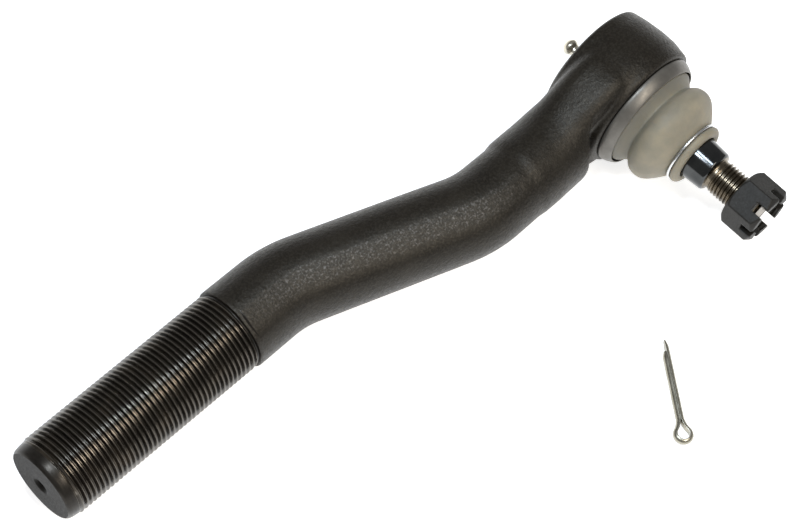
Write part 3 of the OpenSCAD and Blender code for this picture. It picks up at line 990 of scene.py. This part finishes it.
def grease_nipple():
    """Nipple with a turned head, a hexagon, a plain shank and a bore narrowed at both ends."""
    tip, bore_r = NIPPLE_TIP, NIPPLE_BORE_R
    head = fillets([
        (bore_r, tip + 0.6, 0), (bore_r, tip, 0.15), (1.7, tip + 0.02, 0.3),
        (2.55, tip + 0.7, 0.8), (3.2, tip + 1.55, 0.8), (3.3, tip + 2.4, 0.7),
        (2.9, tip + 3.3, 0.6), (2.25, tip + 4.2, 0.7), (2.25, -22.9, 0.8),
        (3.3, -21.4, 0.5), (3.5, -20.6, 0)])
    bore = [(bore_r, tip + 0.5), (1.45, tip + 1.15), (1.45, -18.8), (0.9, -18.7), (0.9, -13.9)]
    shank = fillets([(3.6, -17.8, 0), (3.95, -17.7, 0.1), (3.95, -14.3, 0.3), (3.5, -13.85, 0.2),
                     (0.9, -13.85, 0)])
    flats = surface_of(nipple_hexagon, [-5.8, -21.6, -5.8], [5.8, -16.8, 5.8], cell=0.25,
                       material=NIPPLE_PLATE)
    shells = [turned(outline, about_y, NIPPLE_PLATE, segments)
              for outline, segments in ((head, 96), (bore, 48), (shank, 96))] + [flats]
    add_piece("grease_nipple", "grease_fitting_body", shells, "housing")


def nipple_spring():
    """Coil under the nipple's check ball, with a dead turn at each end; the ball presses it."""
    turns, steps, wire_r, coil_r = 8, 20, 0.16, 1.1
    fixed_end, ball_end = -18.95, -26.05
    t = np.linspace(0, turns, turns * steps + 1)[:, None]
    place = np.interp(t, [0, 1, turns - 1, turns],
                      [fixed_end, fixed_end - 2 * wire_r, ball_end + 2 * wire_r, ball_end])
    around = np.linspace(0, 2 * math.pi, 8, endpoint=False)[None, :]
    points = about_y(coil_r + wire_r * np.cos(around) + 0 * t, 2 * math.pi * t,
                     place + wire_r * np.sin(around))
    wire = (points.reshape(-1, 3), tube_faces(*points.shape[:2]), SPRING_STEEL)
    spring = add_piece("nipple_spring", "grease_fitting_spring", [wire], None)
    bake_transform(spring)


def pin_centre_line():
    """Flat side of the folded wire, from the long leg's tip round the eye to the short leg's tip.

    Points are (along from the eye's outer end, sideways)."""
    inner_r = 2.35
    centre = inner_r + PIN_R
    lean = math.radians(52)
    gap = 0.05
    shorter = 4.6
    leg_start = centre + 6.4
    leg = [(u, gap) for u in np.linspace(PIN_LENGTH, leg_start, 14)]
    start = np.array([centre + inner_r * math.cos(lean), inner_r * math.sin(lean)])
    neck = np.array([centre + 6.0, gap])
    control = start + np.array([math.sin(lean), -math.cos(lean)]) * 1.9
    flare = [tuple((1 - t) ** 2 * neck + 2 * t * (1 - t) * control + t * t * start)
             for t in np.linspace(0, 1, 10)[:-1]]
    loop = [(centre + inner_r * math.cos(a), inner_r * math.sin(a))
            for a in np.linspace(lean, 2 * math.pi - lean, 40)]
    back = [(u, -v) for u, v in reversed(flare)]
    short = [(u, -gap) for u in np.linspace(leg_start, PIN_LENGTH - shorter, 14)]
    return np.array(leg + flare + loop + back + short) * (1, -1)


def cotter_pin():
    """Half-round wire folded on its flat side, lying on the table."""
    path = pin_centre_line()
    ahead = np.gradient(path, axis=0)
    ahead /= np.linalg.norm(ahead, axis=1)[:, None]
    outward = np.stack([-ahead[:, 1], ahead[:, 0]], axis=1)
    round_side = [(PIN_R * math.cos(a) - 0.05, -PIN_R * math.sin(a))
                  for a in np.radians(np.linspace(-84, 84, 15))]
    flat_side = [(0.0, b * PIN_R) for b in (-0.97, 0.0, 0.97)]
    section = np.array(round_side + flat_side)
    taper = np.ones(len(path))
    taper[0] = taper[-1] = 0.55
    taper[1] = taper[-2] = 0.97
    n = section[None, :, 0] * taper[:, None]
    b = section[None, :, 1] * taper[:, None]
    flat_xy = path[:, None, :] + outward[:, None, :] * n[:, :, None]
    heading = math.radians(PIN_HEADING)
    cos, sin = math.cos(heading), math.sin(heading)
    x = PIN_EYE[0] + flat_xy[..., 0] * cos - flat_xy[..., 1] * sin
    y = PIN_EYE[1] + flat_xy[..., 0] * sin + flat_xy[..., 1] * cos
    z = (PIN_LOW[2] + PIN_HIGH[2]) / 2 + b
    points = np.stack([x, y, z], axis=-1)
    wire = (points.reshape(-1, 3), tube_faces(*points.shape[:2]), ZINC)
    add_piece("split_pin", "cotter_pin", [wire], "cotter_pin")


# ---------------------------------------------------------------- all pieces

forged_body()
boot_base_ring()
dust_boot()
boot_neck_ring()
ball_stud()
castle_nut()
grease_nipple()
nipple_spring()
cotter_pin()

# These keep their CAD shape
for node, material in (("front_bearing_seat", SEAT), ("rear_bearing_seat", SEAT),
                       ("spring_cap", COVER_STEEL), ("preload_spring", SPRING_STEEL),
                       ("end_cover_plate", COVER_STEEL), ("cover_seal_ring", SEAL),
                       ("grease_fitting_ball", ZINC)):
    for material_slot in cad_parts[node].material_slots:
        material_slot.material = material


# ---------------------------------------------------------------- floor, light and camera

LIGHT_AIM = (0.12, 0.0, 0.0)


def add_floor():
    bpy.ops.mesh.primitive_plane_add(size=6, location=(0.1, 0.04, TABLE_Z * MM))
    floor = bpy.context.object
    floor.name = "floor"
    floor.data.materials.append(FLOOR)


def facing(side, back):
    """Rotation that looks away from back, with its X axis as near side as it can be."""
    up = back.cross(side).normalized()
    return Matrix((up.cross(back), up, back)).transposed()


def add_light(name, place, size, heading, watts, colour):
    """A rectangular soft light on the object; lengths are in metres, and heading turns it."""
    data = bpy.data.lights.new(name, "AREA")
    data.shape = "RECTANGLE"
    data.size, data.size_y = size
    data.energy = watts
    data.color = colour
    light = bpy.data.objects.new(name, data)
    light.location = place
    beam = Vector(LIGHT_AIM) - Vector(place)
    side = Vector((math.cos(math.radians(heading)), math.sin(math.radians(heading)), 0))
    light.rotation_euler = facing(side, -beam.normalized()).to_euler()
    bpy.context.scene.collection.objects.link(light)


def add_camera():
    """The photograph's view, as fitted to it."""
    data = bpy.data.cameras.new("camera")
    data.sensor_width = 36
    data.lens = 113.26
    data.clip_start = 0.01
    camera = bpy.data.objects.new("camera", data)
    right = Vector((-0.702, 0.705, 0.0975)).normalized()
    back = Vector((0.398, 0.275, 0.8753)).normalized()
    place = Matrix.Translation((0.48035, 0.24772, 0.80036))
    camera.matrix_world = place @ facing(right, back).to_4x4()
    bpy.context.scene.collection.objects.link(camera)
    bpy.context.scene.camera = camera


def add_world():
    """Soft white surround, and plain colours in the render."""
    world = bpy.data.worlds.new("soft_surround")
    world.use_nodes = True
    background = world.node_tree.nodes["Background"]
    background.inputs["Color"].default_value = (1, 1, 1, 1)
    background.inputs["Strength"].default_value = 0.3
    bpy.context.scene.world = world
    bpy.context.scene.cycles.caustics_reflective = False
    bpy.context.scene.view_settings.view_transform = "Standard"


add_floor()
add_light("soft_key", (0.06, 0.56, 0.8), (0.6, 0.22), 50, 5.0, (1.0, 0.91, 0.79))
add_light("cool_strip", (0.073, 0.036, 0.5), (0.07, 0.07), 0, 0.5, (0.74, 0.87, 1.0))
add_light("cool_window", (0.31, -0.06, 0.8), (0.12, 0.12), 0, 3.5, (0.82, 0.91, 1.0))
add_camera()
add_world()
